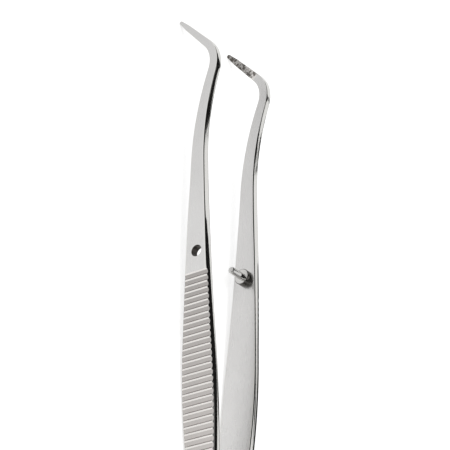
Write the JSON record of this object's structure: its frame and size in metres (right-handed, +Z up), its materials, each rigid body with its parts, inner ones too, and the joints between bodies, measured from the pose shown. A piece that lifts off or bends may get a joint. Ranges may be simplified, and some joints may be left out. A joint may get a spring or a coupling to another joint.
{
  "type": "dental tweezers",
  "caption": "Angled dental tweezers: two bowed steel arms welded at the heel, with bent serrated tips, fluted finger grips and a guide pin that points at a hole.",
  "frame": {"origin": "on the surface the tweezers lie on, under the middle of their bounding box", "axes": "+X along the length from the welded heel to the tips, +Y towards the arm with the guide hole, +Z up across the width of the arms"},
  "size_m": [0.1506, 0.0184, 0.0105],
  "materials": {
    "arm_steel": "satin faces with polished edges",
    "pin_steel": "polished"
  },
  "bodies": {
    "arm_with_hole": {"arm_with_hole": "arm_steel"},
    "arm_with_pin": {"arm_with_pin": "arm_steel", "guide_pin": "pin_steel"}
  },
  "joints": [
    {"name": "squeeze", "type": "hinge", "parent": "arm_with_hole", "child": "arm_with_pin", "pos_m": [-0.06531, 0, 0.00295], "axis": [-0.0224, 0, 0.9997], "range_deg": [0, 6.2], "stiffness_Nm_per_rad": 2.3}
  ]
}
